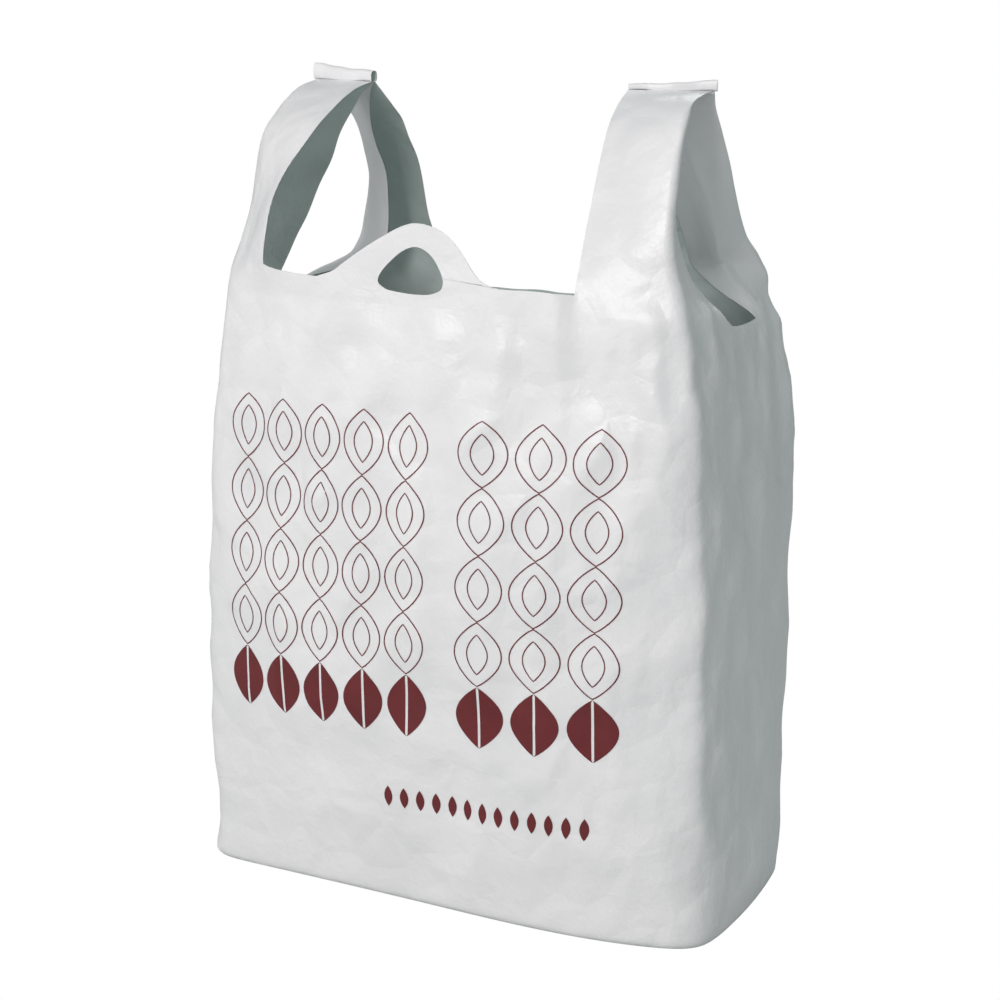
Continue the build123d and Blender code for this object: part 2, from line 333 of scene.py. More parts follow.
def soften(sections, widths):
    """Each closed section smoothed by a bell curve as wide as its number of columns."""
    count = sections.shape[1]
    waves = np.fft.fftfreq(count)[None, :] * 2 * np.pi
    keep = np.exp(-0.5 * (waves * widths[:, None]) ** 2)
    return np.fft.ifft(np.fft.fft(sections, axis=1) * keep[..., None], axis=1).real


def make_body():
    """The body's grid: rows from the base to the top row, columns once round."""
    heights = np.concatenate([LOW_ROWS, np.linspace(FIRST_EVEN_ROW, BODY_TOP, ROWS)])
    rings = []
    for z in heights:
        lines = [front_line(z), right_line(z), back_line(z), left_line(z)]
        rings.append(np.concatenate([line[:-1] for line in lines]))
    xy = soften(np.array(rings), 1.5 + 3.2 * (1 - smoothstep(10, 110, heights)))
    along = np.roll(xy, -1, axis=1) - np.roll(xy, 1, axis=1)
    inward = np.stack([-along[..., 1], along[..., 0]], -1)
    inward /= np.linalg.norm(inward, axis=-1, keepdims=True)
    below = np.clip(EDGE_RADIUS - heights, 0, EDGE_RADIUS)
    inset = EDGE_RADIUS - np.sqrt(EDGE_RADIUS**2 - below**2)
    xy = xy + inward * inset[:, None, None]
    share = (heights / BODY_TOP)[:, None]
    z = share * column_tops()[None, :] + 0.35 * (1 - share)
    return np.concatenate([xy, z[..., None]], -1)


def crumple(points):
    """How far the film stands out of its smooth shape, by dents, folds down from the mouth and soft creases."""
    z = points[..., 2]
    upper = smoothstep(120, 270, z)
    broad = 2.4 * noise_at(points, 60, 1, (1, 1, 1.6))
    folds = (0.7 + 1.3 * upper) * noise_at(points, 15, 2, (1, 1, 6))
    dents = (1.1 + 0.7 * upper) * noise_at(points, 24, 3, (1, 1, 1.4))
    creases = -3.4 * np.abs(noise_at(points, 33, 4, (1, 1, 1.5)))
    small = -(0.9 + 0.9 * upper) * np.abs(noise_at(points, 14, 5, (1, 1, 1.7)))
    return (broad + folds + dents + creases + small + 0.8) * smoothstep(1, 22, z)


def lay_crumples(grid):
    """The body's grid with its film crumpled, less so on the left gusset, which folds flatter for it."""
    total = grid.shape[1]
    left = plateau(2 * FRONT_CELLS + SIDE_CELLS, total, np.arange(total), 8)
    moved = crumple(grid) * (1 - 0.6 * left)
    return grid + grid_normals(grid, True) * moved[..., None]


# ---------------------------------------------------------------- handles, mouth and tabs


def front_column(x):
    """Column of the body's grid nearest to x on the front's top row."""
    return int(np.argmin(np.abs(body[-1, : FRONT_CELLS + 1, 0] - x)))


def back_column(x):
    """Column of the body's grid nearest to x on the back's top row."""
    first = FRONT_CELLS + SIDE_CELLS
    return first + int(np.argmin(np.abs(body[-1, first : first + FRONT_CELLS + 1, 0] - x)))


def root_columns(side, face):
    """Columns of the body under a handle, from the strap's inner edge past the crease to the strip's end."""
    strip = round((HALF_DEPTH - STRIP_ENDS[side, face]) / (2 * HALF_DEPTH) * SIDE_CELLS)
    crease = {
        ("right", "front"): FRONT_CELLS,
        ("right", "rear"): FRONT_CELLS + SIDE_CELLS,
        ("left", "rear"): 2 * FRONT_CELLS + SIDE_CELLS,
        ("left", "front"): TOTAL,
    }[side, face]
    pick = front_column if face == "front" else back_column
    inner = pick(STRAP_FEET[side, face])
    step = 1 if (side == "right") == (face == "front") else -1
    if (side, face) == ("left", "front"):
        inner += TOTAL
    columns = np.arange(inner, crease + step * strip + step, step)
    return columns % TOTAL, abs(crease - inner)


def handle_station(row, side, cells, crease):
    """One row of a handle's grid between its three given points."""
    inner, fold, free = (np.array(p, float) * (SIDES[side], 1, 1) for p in row)
    first = np.linspace(0, 1, crease + 1)[:, None]
    second = np.linspace(0, 1, cells - crease + 1)[1:, None]
    return np.concatenate([inner + (fold - inner) * first, fold + (free - fold) * second])


def soften_across(grid, passes):
    """A grid smoothed across its columns, its two edges kept."""
    out = grid.copy()
    for _ in range(passes):
        out[:, 1:-1] = (out[:, :-2] + 2 * out[:, 1:-1] + out[:, 2:]) / 4
    return out


def make_handle(side, face):
    """The grid of one handle's strap and gusset strip, from the body's top row to the seal."""
    columns, crease = root_columns(side, face)
    cells = len(columns) - 1
    inner, outer = ((x, y + SEAL_DEPTHS[face], z) for x, y, z in (SEAL_INNER, SEAL_OUTER))
    rows = (*HANDLES[side, face], (inner, outer, inner))
    stations = [handle_station(row, side, cells, crease) for row in rows]
    knots = np.array([body[-4, columns], body[-1, columns], *stations])
    knots[2:] = soften_across(knots[2:], HANDLE_SOFTENING)
    grid = np.stack([spline(knots[:, j], HANDLE_ROWS) for j in range(cells + 1)], axis=1)
    across = np.arange(cells + 1)
    strap = np.clip(across / crease, 0, 1)
    strip = np.clip((across - crease) / (cells - crease), 0, 1)
    up = np.linspace(0, 1, HANDLE_ROWS)[:, None]
    crown = 1.8 * np.sin(np.pi * strap) * (strap < 1) + 2.4 * np.sin(np.pi * strip) * (strip > 0)
    ripple = 1.3 * noise_at(grid, 13, 6, (1, 1, 5)) + 1.1 * noise_at(grid, 22, 7, (1, 1, 2))
    fade = np.sin(np.pi * np.clip(up * 1.02, 0, 1)) ** 0.7 * (1 - 0.8 * smoothstep(0.7, 0.95, up))
    sign = 1 if (side == "right") == (face == "front") else -1
    apart = LAYER_GAP * smoothstep(0, 0.08, strip) * smoothstep(0, 0.15, up)
    if (side, face) == ("right", "rear"):
        # a fold that runs down the strip to the end of the hand hole
        crown = crown + 4.0 * np.exp(-(((strip - 0.78 + 0.28 * up) / 0.1) ** 2))
    moved = (crown + ripple) * fade + apart
    grid = grid + grid_normals(grid) * (moved * sign)[..., None]
    return grid, crease


def mouth_strip(side, face):
    """The film between a strap and the tab, above the body's top row, up to the mouth's edge."""
    pick = front_column if face == "front" else back_column
    strap_x, tab_x = STRAP_FEET[side, face], TAB_FEET[face][side == "right"]
    a, b = sorted((pick(strap_x), pick(tab_x)))
    columns = np.arange(a, b + 1)
    edge = handles[side, face][0][:, 0]
    rows = int(np.argmin(np.abs(edge[:, 2] - CORNER_HEIGHTS[side, face])))
    base = body[-1, columns]
    away = np.abs(base[:, 0] - strap_x)
    corner = edge[rows]
    lift = np.exp(-away / CORNER_REACH)
    tops = MOUTH[face] + (corner[2] - MOUTH[face]) * lift
    grid = np.empty((rows + 1, len(columns), 3))
    for r in range(rows + 1):
        share = (edge[r, 2] - edge[0, 2]) / (corner[2] - edge[0, 2])
        grid[r, :, 0] = base[:, 0] + (edge[r, 0] - edge[0, 0]) * lift
        grid[r, :, 1] = base[:, 1] + (edge[r, 1] - edge[0, 1]) * lift
        grid[r, :, 2] = base[:, 2] + (tops - base[:, 2]) * share
    grid[:, 0 if away[0] < away[-1] else -1] = edge[: rows + 1]
    return grid


def ring(table, count):
    """Points spread along a closed smooth outline."""
    points = spline([*table, *table[:3]], 40 * len(table) + 1)
    far = np.concatenate([[0], np.cumsum(np.linalg.norm(np.diff(points, axis=0), axis=1))])
    at = np.linspace(0, far[-1], count, endpoint=False)
    return np.stack([np.interp(at, far, points[:, k]) for k in (0, 1)], -1)


def hang_over(base, s):
    """Where the rear tab's film lies at distances s along its path from the body's top row."""
    dense = spline([(0, -1), *REAR_TAB_PATH], 200)
    along = np.concatenate([[0], np.cumsum(np.linalg.norm(np.diff(dense, axis=0), axis=1))])
    out = base.copy()
    out[:, 1] += np.interp(s, along, dense[:, 0])
    out[:, 2] += np.interp(s, along, dense[:, 1])
    return out


def make_tab(face):
    """The arched tab with its hole, as rings between the outline and the hole."""
    left_strip, right_strip = strips["left", face], strips["right", face]
    pick = front_column if face == "front" else back_column
    a, b = sorted(pick(x) for x in TAB_FEET[face])
    base = body[-1, np.arange(a, b + 1)]
    base = base[np.argsort(base[:, 0])]
    right = right_strip[:, int(np.argmin(np.abs(right_strip[0, :, 0] - base[-1, 0])))]
    left = left_strip[:, int(np.argmin(np.abs(left_strip[0, :, 0] - base[0, 0])))]
    mouth = MOUTH["front"]
    arch = np.array([(right[-1, 0], mouth), *TAB_OUTLINE, (left[-1, 0], mouth)], float)
    hole = ring(TAB_HOLE, 720)
    if face == "rear":
        rise = right[-1, 2] - right[0, 2]
        arch[:, 1] = BODY_TOP + rise + (arch[:, 1] - mouth) * REAR_TAB_STRETCH
        hole[:, 1] = BODY_TOP + REAR_HOLE_START + (hole[:, 1] - TAB_HOLE_BOTTOM) * REAR_HOLE_STRETCH
    arch = spline(np.concatenate([2 * arch[:1] - arch[1:2], arch]), 90)[1:-1]

    def place(points):
        x, s = points[:, 0], points[:, 1] - BODY_TOP
        foot = np.stack([x, *(np.interp(x, base[:, 0], base[:, k]) for k in (1, 2))], -1)
        if face == "rear":
            return hang_over(foot, s)
        wave = 0.6 * np.sin(x / 9.0) * smoothstep(0, 20, s)
        return foot + np.stack([np.zeros(len(s)), 0.05 * s + wave, s], -1)

    def flattened(line, lowest):
        return np.stack([line[:, 0], BODY_TOP + line[:, 2] - lowest], -1)

    outer = np.concatenate([base, right[1:], place(arch), left[:0:-1]])
    flat = np.concatenate([
        flattened(base, base[:, 2]),
        flattened(right, right[0, 2])[1:],
        arch,
        flattened(left, left[0, 2])[:0:-1],
    ])
    centre = hole.mean(0)
    angles = np.arctan2(*(hole - centre).T[::-1])
    order = np.argsort(angles)
    reach = np.linalg.norm(hole - centre, axis=1)[order]
    wanted = np.arctan2(*(flat - centre).T[::-1])
    r = np.interp(wanted, angles[order], reach, period=2 * np.pi)
    inner = np.stack([centre[0] + r * np.cos(wanted), centre[1] + r * np.sin(wanted)], -1)
    rings = [outer]
    for share in np.linspace(0, 1, TAB_RINGS)[1:]:
        rings.append(place(flat * (1 - share) + inner * share))
    closed = np.array(rings)
    closed = np.concatenate([closed, closed[:, :1]], axis=1)
    return closed if face == "front" else closed[:, ::-1]


# ---------------------------------------------------------------- meshes


def quads_of(grid, offset):
    """Corner numbers of a grid's cells."""
    rows, columns = grid.shape[:2]
    index = np.arange(rows * columns).reshape(rows, columns) + offset
    return np.stack([index[:-1, :-1], index[:-1, 1:], index[1:, 1:], index[1:, :-1]], -1).reshape(-1, 4)


def merged(grids):
    """Points and cells of several grids, with points that coincide made one."""
    points = np.concatenate([g.reshape(-1, 3) for g in grids])
    offsets = np.cumsum([0] + [g.shape[0] * g.shape[1] for g in grids[:-1]])
    cells = np.concatenate([quads_of(g, o) for g, o in zip(grids, offsets)])
    _, first, back = np.unique(np.round(points, 3), axis=0, return_index=True, return_inverse=True)
    return points[first], back.reshape(-1)[cells]


def face_normals(points, cells):
    """Normals of cells, twice as long as the cells' areas."""
    a, b, c, d = (points[cells[:, k]] for k in range(4))
    return np.cross(c - a, d - b)


class Normals:
    """Normals that are the same wherever two pieces of film meet."""

    def __init__(self):
        self.sums = {}

    def add(self, points, cells):
        n = face_normals(points, cells)
        for k in range(4):
            for p, v in zip(points[cells[:, k]], n):
                self.sums[self.key(p)] = self.sums.get(self.key(p), 0) + v

    @staticmethod
    def key(point):
        return tuple(np.round(point, 2) + 0.0)

    def at(self, points):
        n = np.array([self.sums[self.key(p)] for p in points])
        return n / np.maximum(np.linalg.norm(n, axis=1, keepdims=True), 1e-9)


normals = Normals()
films = {}
spans = {}


def plan(name, *grids):
    """Note the grids of a piece of film, so that its normals can be joined to its neighbours'."""
    points, cells = merged(grids)
    keep = [len(set(c)) > 2 for c in cells]
    films[name] = (points, cells[np.array(keep)])
    spans[name] = (max(longest(g, 1) for g in grids), max(longest(g, 0) for g in grids))
    normals.add(*films[name])


def film_mesh(name):
    """The closed mesh of a planned piece: its outer face, its inner face and its edges."""
    points, cells = films[name]
    n = normals.at(points)
    count = len(points)
    inner = points - n * FILM
    loops = [[int(v) for i, v in enumerate(cell) if v != cell[i - 1]] for cell in cells]
    edges = {edge: None for loop in loops for edge in zip(loop, loop[1:] + loop[:1])}
    faces, slots = [], []
    for loop in loops:
        faces += [loop, [v + count for v in reversed(loop)]]
        slots += [0, 1]
    for a, b in edges:
        if (b, a) not in edges:
            faces.append([b, a, a + count, b + count])
            slots.append(0)
    mesh = bpy.data.meshes.new(name)
    mesh.from_pydata((np.concatenate([points, inner]) * MM).tolist(), [], faces)
    mesh.polygons.foreach_set("material_index", slots)
    mesh.polygons.foreach_set("use_smooth", [True] * len(faces))
    mesh.update()
    mesh.normals_split_custom_set_from_vertices(np.concatenate([n, -n]).tolist())
    o = bpy.data.objects.new(name, mesh)
    bpy.context.scene.collection.objects.link(o)
    o.data.materials.append(film_outside)
    o.data.materials.append(film_inside_painted_shade)
    return o


def longest(grid, axis):
    """Longest way across a grid along one of its axes."""
    return float(np.linalg.norm(np.diff(grid, axis=axis), axis=-1).sum(axis=axis).max())


# the narrowest sheet that is worked out, and the least share of its width times its length
LEAST_SHEET = 10.4
LEAST_SHARE = 0.31


def declare(name):
    """Work out a piece's flat size as a sheet of film, its size along its surface. Nothing is done with it."""
    points, cells = films[name]
    area = float(np.linalg.norm(face_normals(points, cells), axis=1).sum() / 2)
    width, length = (max(size, LEAST_SHEET) for size in spans[name])
    area = min(max(area, LEAST_SHARE * width * length), width * length)


# ---------------------------------------------------------------- materials


def node(tree, kind, sockets=(), **values):
    """A shader node with values for its sockets, or for its own settings where it has no such socket."""
    n = tree.nodes.new(kind)
    for key, value in (*dict(sockets).items(), *values.items()):
        if key in n.inputs:
            n.inputs[key].default_value = value
        else:
            setattr(n, key, value)
    return n


def film_material(name, light, dark, roughness, bump, painted_glow, depth_shade):
    """Thin satin film: cloudy colour, uneven gloss and fine crumples.

    The painted glow is an emission that stands in for light coming through the film from behind. The depth
    shade is painted shade: it darkens the film below the mouth.
    """
    m = bpy.data.materials.new(name)
    m.use_nodes = True
    t = m.node_tree
    t.nodes.clear()
    out = node(t, "ShaderNodeOutputMaterial")
    # painted glow: a faint greenish emission in place of light coming through the film
    look = {"Specular IOR Level": 0.6, "Emission Color": (0.86, 1, 0.97, 1), "Emission Strength": painted_glow}
    shader = node(t, "ShaderNodeBsdfPrincipled", look, IOR=1.5)
    place = node(t, "ShaderNodeTexCoord")
    cloud = node(t, "ShaderNodeTexNoise", Scale=22.0, Detail=3.0)
    contrast = node(t, "ShaderNodeMapRange", {"From Min": 0.3, "From Max": 0.7})
    tint = node(t, "ShaderNodeMix", data_type="RGBA", A=(*dark, 1), B=(*light, 1))
    gloss = node(t, "ShaderNodeMapRange", {"To Min": roughness - 0.07, "To Max": roughness + 0.09})
    height = node(t, "ShaderNodeSeparateXYZ")
    # painted shade: below the mouth's height the base colour is scaled down to the depth shade
    depth = {"From Min": 0.262, "From Max": 0.292, "To Min": depth_shade}
    shade = node(t, "ShaderNodeMapRange", depth)
    shaded = node(t, "ShaderNodeVectorMath", operation="SCALE")
    crumples = node(t, "ShaderNodeTexNoise", Scale=75.0, Detail=4.0, Roughness=0.55)
    cells = node(t, "ShaderNodeTexVoronoi", feature="DISTANCE_TO_EDGE", Scale=42.0)
    edge = node(t, "ShaderNodeMapRange", {"From Max": 0.25})
    low_edge = node(t, "ShaderNodeMath", operation="MULTIPLY")
    low_edge.inputs[1].default_value = 0.35
    both = node(t, "ShaderNodeMath", operation="ADD")
    relief = node(t, "ShaderNodeBump", Strength=0.7, Distance=bump * MM)
    link = t.links.new
    for texture in (cloud, crumples, cells, height):
        link(place.outputs["Object"], texture.inputs["Vector"])
    link(cloud.outputs["Fac"], contrast.inputs["Value"])
    link(contrast.outputs["Result"], tint.inputs["Factor"])
    link(height.outputs["Z"], shade.inputs["Value"])
    link(tint.outputs["Result"], shaded.inputs["Vector"])
    link(shade.outputs["Result"], shaded.inputs["Scale"])
    link(shaded.outputs["Vector"], shader.inputs["Base Color"])
    link(cloud.outputs["Fac"], gloss.inputs["Value"])
    link(gloss.outputs["Result"], shader.inputs["Roughness"])
    link(cells.outputs["Distance"], edge.inputs["Value"])
    link(edge.outputs["Result"], low_edge.inputs[0])
    link(low_edge.outputs["Value"], both.inputs[0])
    link(crumples.outputs["Fac"], both.inputs[1])
    link(both.outputs["Value"], relief.inputs["Height"])
    link(relief.outputs["Normal"], shader.inputs["Normal"])
    link(shader.outputs["BSDF"], out.inputs["Surface"])
    return m


def ink_material():
    """Dark red ink on film, slightly uneven."""
    m = bpy.data.materials.new("ink")
    m.use_nodes = True
    t = m.node_tree
    shader = t.nodes["Principled BSDF"]
    shader.inputs["Roughness"].default_value = 0.5
    place = node(t, "ShaderNodeTexCoord")
    cloud = node(t, "ShaderNodeTexNoise", Scale=60.0, Detail=4.0)
    dark, light = (0.105, 0.008, 0.011, 1), (0.175, 0.016, 0.020, 1)
    mix = node(t, "ShaderNodeMix", data_type="RGBA", A=dark, B=light)
    t.links.new(place.outputs["Object"], cloud.inputs["Vector"])
    t.links.new(cloud.outputs["Fac"], mix.inputs["Factor"])
    t.links.new(mix.outputs["Result"], shader.inputs["Base Color"])
    return m


film_outside = film_material("film_outside", (0.86, 0.85, 0.86), (0.79, 0.79, 0.80), 0.4, 1.5, 0, 1.0)
# the inner faces: a darker, greener copy of the film as painted shade, with a painted glow and painted shade
# below the mouth
film_inside_painted_shade = film_material("film_inside_painted_shade", (0.60, 0.67, 0.65), (0.47, 0.54, 0.52), 0.42, 1.4, 0.045, 0.5)
ink = ink_material()


# ---------------------------------------------------------------- camera, light and floor


# the camera's turn round the bag, its tilt down and its roll in degrees, what it looks at, and from how far
CAMERA_TURNS = (25.17, 12.81, 0.66)
CAMERA_AIM = (0.0003, 0, 0.1861)
CAMERA_DISTANCE = 1.084
CAMERA_LENS = 80.7

# name, place, aim, size, watts and colour of each light
LIGHTS = (
    ("key", (-0.12, -1.9, 1.2), (0, 0, 0.2), (0.8, 0.8), 26, (1, 0.955, 0.96)),
    ("left", (-1.8, -1.2, 0.8), (0, 0, 0.2), (1.2, 1.0), 5, (1, 0.955, 0.97)),
    ("rear", (-0.4, 2.2, 1.2), (0, 0, 0.2), (1.0, 1.0), 16, (0.96, 1, 1)),
    ("high", (1.3, 0.5, 1.7), (0, 0, 0.3), (1.0, 1.0), 2.5, (0.92, 1, 1)),
)
WHITE = (1, 1, 1, 1)
WORLD_LIGHT, WORLD_STRENGTH = (0.86, 0.95, 0.94, 1), 0.33
FLOOR_COLOUR = (0.60, 0.62, 0.61, 1)
FLOOR_REACH = 4.0
FLOOR_Z = -0.0004


def make_camera():
    """The camera stands front right of the bag and looks a little down on it."""
    azimuth, pitch, roll = (math.radians(a) for a in CAMERA_TURNS)
    level = Vector((-math.sin(azimuth), math.cos(azimuth), 0))
    forward = level * math.cos(pitch) - Vector((0, 0, math.sin(pitch)))
    flat_right = Vector((math.cos(azimuth), math.sin(azimuth), 0))
    flat_up = flat_right.cross(forward)
    right = math.cos(roll) * flat_right + math.sin(roll) * flat_up
    up = right.cross(forward)
    cam = bpy.data.objects.new("camera", bpy.data.cameras.new("camera"))
    bpy.context.scene.collection.objects.link(cam)
    place = Vector(CAMERA_AIM) - forward * CAMERA_DISTANCE
    turn = Matrix((right, up, -forward)).transposed().to_4x4()
    cam.matrix_world = Matrix.Translation(place) @ turn
    cam.data.sensor_width = 36
    cam.data.lens = CAMERA_LENS
    cam.data.clip_start = 0.05
    bpy.context.scene.camera = cam


def area_light(name, place, aim, size, watts, colour):
    """A rectangular light that points at its aim."""
    light = bpy.data.objects.new(name, bpy.data.lights.new(name, "AREA"))
    light.data.shape = "RECTANGLE"
    light.data.size, light.data.size_y = size
    light.data.energy = watts
    light.data.color = colour
    light.location = place
    light.rotation_euler = (Vector(aim) - Vector(place)).to_track_quat("-Z", "Y").to_euler()
    bpy.context.scene.collection.objects.link(light)


def seen_white(tree, lights, white, out):
    """Join two shaders so that one lights the scene and the camera sees the white one."""
    path = node(tree, "ShaderNodeLightPath")
    mix = node(tree, "ShaderNodeMixShader")
    tree.links.new(path.outputs["Is Camera Ray"], mix.inputs[0])
    tree.links.new(lights.outputs[0], mix.inputs[1])
    tree.links.new(white.outputs[0], mix.inputs[2])
    tree.links.new(mix.outputs[0], out.inputs["Surface"])


def make_studio():
    """Soft lights round the bag, a dim sky and a pale floor, both white to the camera."""
    scene = bpy.context.scene
    scene.view_settings.view_transform = "Standard"
    scene.view_settings.look = "None"
    world = bpy.data.worlds.new("studio")
    scene.world = world
    world.use_nodes = True
    t = world.node_tree
    t.nodes.clear()
    dim = node(t, "ShaderNodeBackground", Color=WORLD_LIGHT, Strength=WORLD_STRENGTH)
    white = node(t, "ShaderNodeBackground", Color=WHITE, Strength=1.0)
    seen_white(t, dim, white, node(t, "ShaderNodeOutputWorld"))
    for light in LIGHTS:
        area_light(*light)

    mesh = bpy.data.meshes.new("floor")
    corners = ((-1, -1), (1, -1), (1, 1), (-1, 1))
    mesh.from_pydata([(x * FLOOR_REACH, y * FLOOR_REACH, FLOOR_Z) for x, y in corners], [], [(0, 1, 2, 3)])
    floor = bpy.data.objects.new("floor", mesh)
    scene.collection.objects.link(floor)
    m = bpy.data.materials.new("floor")
    m.use_nodes = True
    t = m.node_tree
    t.nodes.clear()
    pale = node(t, "ShaderNodeBsdfDiffuse", Color=FLOOR_COLOUR)
    white = node(t, "ShaderNodeEmission", Color=WHITE, Strength=1.0)
    seen_white(t, pale, white, node(t, "ShaderNodeOutputMaterial"))
    floor.data.materials.append(m)


make_camera()
make_studio()

# ---------------------------------------------------------------- shapes

body = lay_crumples(make_body())
TOTAL = body.shape[1]
CENTRE_RIGHT = FRONT_CELLS + SIDE_CELLS // 2
MARGIN_CELLS = round(CREASE_MARGIN / (2 * HALF_DEPTH) * SIDE_CELLS)
CENTRE_FRONT = FRONT_CELLS // 2
CENTRE_BACK = FRONT_CELLS + SIDE_CELLS + FRONT_CELLS // 2
CREASE_REAR_LEFT = 2 * FRONT_CELLS + SIDE_CELLS
CENTRE_LEFT = CREASE_REAR_LEFT + SIDE_CELLS // 2


def wrap(first, last):
    """Part of the body's grid between two columns."""
    return body[:, np.arange(first, last + 1) % TOTAL]


def lip(first, last):
    """The film that turns under the front or the back at the base, between two columns."""
    edge = body[0, first : last + 1]
    x = edge[:, 0] * 0.985
    y = np.sign(edge[:, 1]) * np.minimum(LIP_Y, np.abs(edge[:, 1]) - 0.4)
    fold = np.stack([x, y, np.full(len(edge), LIP_Z)], -1)
    return np.stack([edge + (fold - edge) * s for s in np.linspace(1, 0, LIP_ROWS)])


handles = {key: make_handle(*key) for key in HANDLES}
strips = {key: mouth_strip(*key) for key in HANDLES}

plan(
    "front_right_film",
    wrap(CENTRE_FRONT, CENTRE_RIGHT - MARGIN_CELLS),
    strips["right", "front"],
    lip(CENTRE_FRONT, FRONT_CELLS),
)
plan("right_centre_film", wrap(CENTRE_RIGHT - MARGIN_CELLS, CENTRE_RIGHT + MARGIN_CELLS))
plan(
    "back_right_film",
    wrap(CENTRE_RIGHT + MARGIN_CELLS, CENTRE_BACK),
    strips["right", "rear"],
    lip(FRONT_CELLS + SIDE_CELLS, CENTRE_BACK),
)
plan(
    "back_left_film",
    wrap(CENTRE_BACK, CREASE_REAR_LEFT),
    strips["left", "rear"],
    lip(CENTRE_BACK, CREASE_REAR_LEFT),
)
plan("left_rear_film", wrap(CREASE_REAR_LEFT, CENTRE_LEFT + MARGIN_CELLS))
plan(
    "front_left_film",
    wrap(CENTRE_LEFT + MARGIN_CELLS, TOTAL + CENTRE_FRONT),
    strips["left", "front"],
    lip(0, CENTRE_FRONT),
)
plan("front_tab_film", make_tab("front"))
plan("rear_tab_film", make_tab("rear"))

for (side, face), (grid, crease) in handles.items():
    strap, strip = grid[:, : crease + 1], grid[:, crease:]
    if (side == "right") != (face == "front"):
        strap, strip = strap[:, ::-1], strip[:, ::-1]
    cut = int(np.argmin(np.abs(strap[:, strap.shape[1] // 2, 2] - ROOT_TOP)))
    plan(f"{side}_{face}_root_film", strap[: cut + 1])
    plan(f"{side}_{face}_strap_film", strap[cut:])
    plan(f"{side}_{face}_strip_film", strip)


def seal_grid(side):
    """The heat seal across the top of a handle: a flattened tube of film, open at its ends."""
    start, end = (np.array(p) * (SIDES[side], 1, 1) for p in (SEAL_OUTER, SEAL_INNER))
    low, high = SEAL_HALF_HEIGHTS[side]
    along = np.linspace(0, 1, 26)
    around = np.linspace(0, 2 * np.pi, 25)
    direction = (end - start) / np.linalg.norm(end - start)
    across = np.cross(direction, (0, 0, 1))
    if across[1] > 0:
        across = -across
    rows = []
    for a in around:
        height = (low * (1 - along) + high * along) * (1 + np.sign(np.sin(a)) * abs(np.sin(a)) ** 0.6) - 0.4
        depth = (1.7 + 0.3 * along) * np.cos(a) - 1.5
        points = start + (end - start) * along[:, None] + across * depth[:, None]
        wave = 0.25 * np.sin(along * 7 + 1) + 0.15 * np.sin(along * 17)
        points[:, 2] += height + wave
        points[:, 1] += 0.5 * np.sin(along * 9)
        rows.append(points)
    grid = np.array(rows)
    return grid if side == "left" else grid[:, ::-1]


for side in SIDES:
    plan(f"{side}_seal_film", seal_grid(side))


def base_grids(face):
    """Flap and the two corners of one half of the base, seen from below as their outer face."""
    sign = -1 if face == "front" else 1
    inward = np.linspace(0.6, HALF_DEPTH - 0.1, FLAP_ROWS)
    y = sign * (HALF_DEPTH - inward)
    bottom = body[0]
    rim = np.abs(bottom[np.abs(bottom[:, 0]) > 60])
    rim = rim[np.argsort(rim[:, 1])]
    room = np.interp(np.abs(y), rim[:, 1], np.minimum.accumulate(rim[:, 0])) - FLAP_CLEARANCE
    wide = np.minimum(FLAP_HALF_WIDTH - FLAP_TAPER * inward, room)

    def level(x, z):
        return np.stack([x, np.broadcast_to(y[:, None], x.shape), np.full(x.shape, z)], -1)[::-1]

    flap = level(wide[:, None] * np.linspace(-1, 1, FLAP_CELLS), FLAP_Z)
    corners = {}
    for side, mirror in SIDES.items():
        edge = bottom[(bottom[:, 0] * mirror > 100) & (np.abs(bottom[:, 1]) < HALF_DEPTH)]
        edge = edge[np.argsort(edge[:, 1])]
        start = wide + 0.2
        limit = np.maximum(np.interp(y, edge[:, 1], np.abs(edge[:, 0])) - 0.8, start + 0.2)
        x = mirror * (start[:, None] + (limit - start)[:, None] * np.linspace(0, 1, CORNER_CELLS))
        corners[side] = level(x, CORNER_FILM_Z)[:, :: mirror * -sign]
    return flap[:, ::-sign], corners


for face in ("front", "rear"):
    flap, corners = base_grids(face)
    plan(f"base_{face}_film", flap)
    for side, grid in corners.items():
        plan(f"{side}_{face}_corner_film", grid)


def bottom_seal_grid(start, end):
    """A stretch of the bottom heat seal, which lies under the front flap."""
    x = np.linspace(start, end, max(3, int((end - start) / 4)))
    x, y = np.meshgrid(x, np.linspace(-0.4, -5.6, 5))
    return np.stack([x, y, np.full(x.shape, BOTTOM_SEAL_Z)], -1)


plan("bottom_seal_film", bottom_seal_grid(-66, 66))
plan("right_seal_ear_film", bottom_seal_grid(66.6, 127))
plan("left_seal_ear_film", bottom_seal_grid(-127, -66.6))

pieces = {name: film_mesh(name) for name in films}

# ---------------------------------------------------------------- the bodies that pieces are attached to, and the CAD parts they hide

STRAP_X = 0.088
# how far from a crease the line across it reaches, in millimetres
CREASE_REACH = 8.5
CENTRE_REACH = 11


def crease_blend(name, x, across, reach=CREASE_REACH):
    """Bake a piece's place into its mesh. The line across its crease, which leans by the body's taper, is
    worked out to its reach away, but no bend is made.
    """
    along = Vector((-math.copysign(TAPER, x), 0, 1)).normalized()
    d = Vector((across[0], across[1], 0))
    d = (d - along * d.dot(along)).normalized() * reach
    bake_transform(pieces[name])


RIGHT_X, LEFT_X = BASE_HALF_WIDTH, -BASE_HALF_WIDTH
crease_blend("front_right_film", RIGHT_X, (1, 1))
crease_blend("front_left_film", LEFT_X, (-1, 1))
for side, piece, x in (("right", "right_centre_film", RIGHT_X), ("left", "left_rear_film", LEFT_X)):
    crease_blend(piece, x, (0, 1), CENTRE_REACH)
crease_blend("back_right_film", RIGHT_X, (-1, 1))
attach(pieces["back_left_film"], "back")

